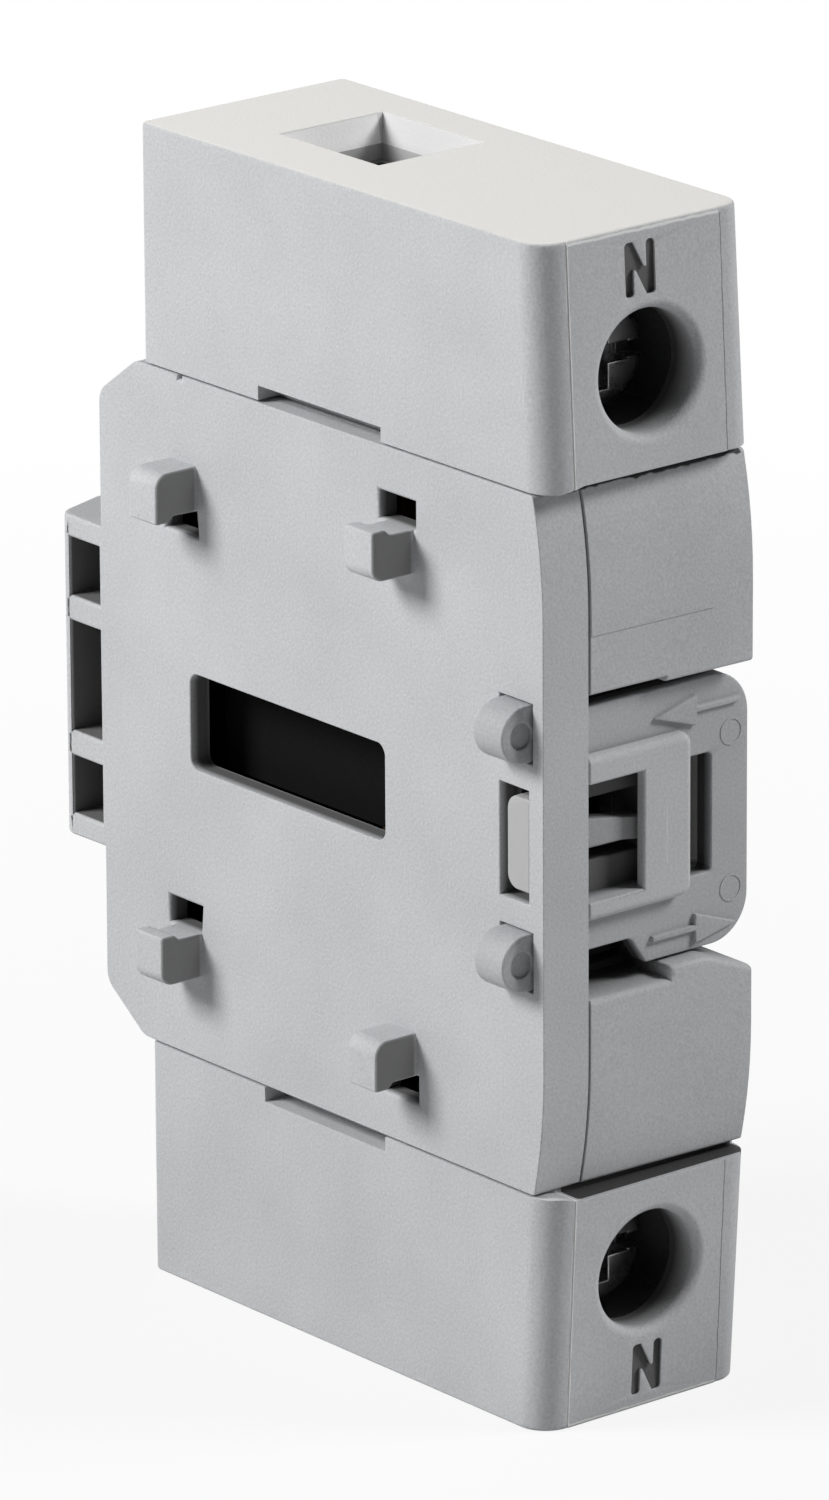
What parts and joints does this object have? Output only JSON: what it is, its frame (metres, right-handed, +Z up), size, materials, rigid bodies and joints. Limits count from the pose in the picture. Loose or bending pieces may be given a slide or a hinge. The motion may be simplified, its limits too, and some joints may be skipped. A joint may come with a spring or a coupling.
{
  "type": "neutral terminal block",
  "caption": "Narrow add-on neutral terminal module: a screw clamp at each end, snap hooks and a window on its mating side, and a locking slide held by a frame in its front.",
  "frame": {"origin": "middle of the window in the mating side, on the plane of the mating face, at mid height", "axes": "+X away from the mating face through the width, -Y the front with screws and slide, +Z up"},
  "size_m": [0.0218, 0.0525, 0.081],
  "materials": {
    "housing_plastic": "light grey, fine eroded grain",
    "slide_plastic": "light grey, fine grain, smoother than the housing",
    "cover_plastic": "black, matte",
    "bar_copper": "rolled copper, dull",
    "clamp_steel": "zinc plated",
    "screw_steel": "plated, darkened"
  },
  "bodies": {
    "housing": {"main_housing": "housing_plastic", "side_plate": "housing_plastic", "upper_terminal_housing": "housing_plastic", "lower_terminal_housing": "housing_plastic", "retaining_frame": "slide_plastic", "neutral_busbar": "bar_copper", "busbar_cover": "cover_plastic"},
    "slide": {"locking_slide": "slide_plastic"},
    "upper_cage": {"upper_clamp_cage": "clamp_steel"},
    "lower_cage": {"lower_clamp_cage": "clamp_steel"},
    "upper_screw": {"upper_terminal_screw": "screw_steel"},
    "lower_screw": {"lower_terminal_screw": "screw_steel"}
  },
  "joints": [
    {"name": "slide_travel", "type": "slide", "parent": "housing", "child": "slide", "axis": [1, 0, 0], "range_m": [-0.0009, 0.0026]},
    {"name": "upper_screw_turn", "type": "hinge", "parent": "housing", "child": "upper_screw", "pos_m": [0.00887, -0.0215, 0.03075], "axis": [0, 1, 0], "range_deg": [0, 3349]},
    {"name": "lower_screw_turn", "type": "hinge", "parent": "housing", "child": "lower_screw", "pos_m": [0.00887, -0.0215, -0.03075], "axis": [0, 1, 0], "range_deg": [0, 3349]},
    {"name": "upper_cage_lift", "type": "slide", "parent": "housing", "child": "upper_cage", "axis": [0, -1, 0], "range_m": [0, 0.0093]},
    {"name": "lower_cage_lift", "type": "slide", "parent": "housing", "child": "lower_cage", "axis": [0, -1, 0], "range_m": [0, 0.0093]}
  ],
  "couplings": [
    {"joint": "upper_screw_turn", "follows": "upper_cage_lift", "rad_per_m": 6283.2},
    {"joint": "lower_screw_turn", "follows": "lower_cage_lift", "rad_per_m": 6283.2}
  ]
}
